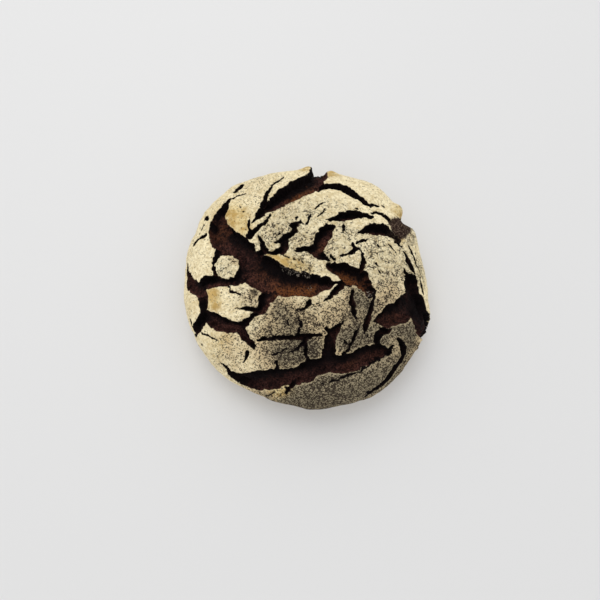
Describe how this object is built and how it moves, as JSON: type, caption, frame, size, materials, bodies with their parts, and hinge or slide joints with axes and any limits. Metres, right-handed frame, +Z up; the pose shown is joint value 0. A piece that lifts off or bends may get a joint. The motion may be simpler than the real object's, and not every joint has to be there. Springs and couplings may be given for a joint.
{
  "type": "sourdough loaf",
  "caption": "Round hearth-baked sourdough loaf with a floury crust torn open into dark fissures and a flat baked base to stand on.",
  "frame": {"origin": "on the table, under the middle of the loaf's plan outline", "axes": "+Z up through the crown; -Y is the front, the side of the long fissure low along the rim; the notched side is +Y"},
  "size_m": [0.2454, 0.2472, 0.084],
  "materials": {
    "crust": "matte"
  },
  "bodies": {
    "root": {"sourdough_loaf": "crust"}
  },
  "joints": []
}
